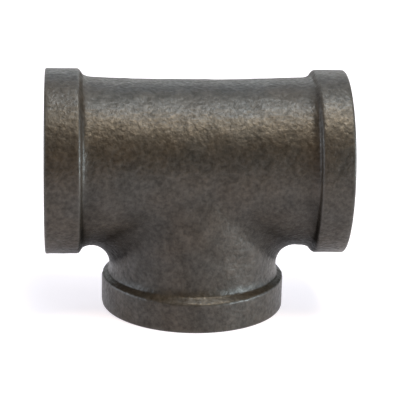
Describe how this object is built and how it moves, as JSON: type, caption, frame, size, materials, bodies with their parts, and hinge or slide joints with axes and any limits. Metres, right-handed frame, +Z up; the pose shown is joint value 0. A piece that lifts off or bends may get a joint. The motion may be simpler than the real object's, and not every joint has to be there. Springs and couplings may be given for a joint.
{
  "type": "pipe tee fitting",
  "caption": "Equal banded pipe tee: straight run with a branch square to its middle, a raised collar and an internal taper thread at each mouth.",
  "frame": {"origin": "centre of the branch end face, which the tee stands on; the run axis is 44.45 mm above it", "axes": "+X along the run, +Z up from the branch mouth to the run, +Y to the back"},
  "size_m": [0.0888, 0.0552, 0.072],
  "materials": {
    "black_iron": "black oxide cast skin, fine grain, satin; faces and threads machined"
  },
  "bodies": {
    "root": {"tee_casting": "black_iron"}
  },
  "joints": []
}
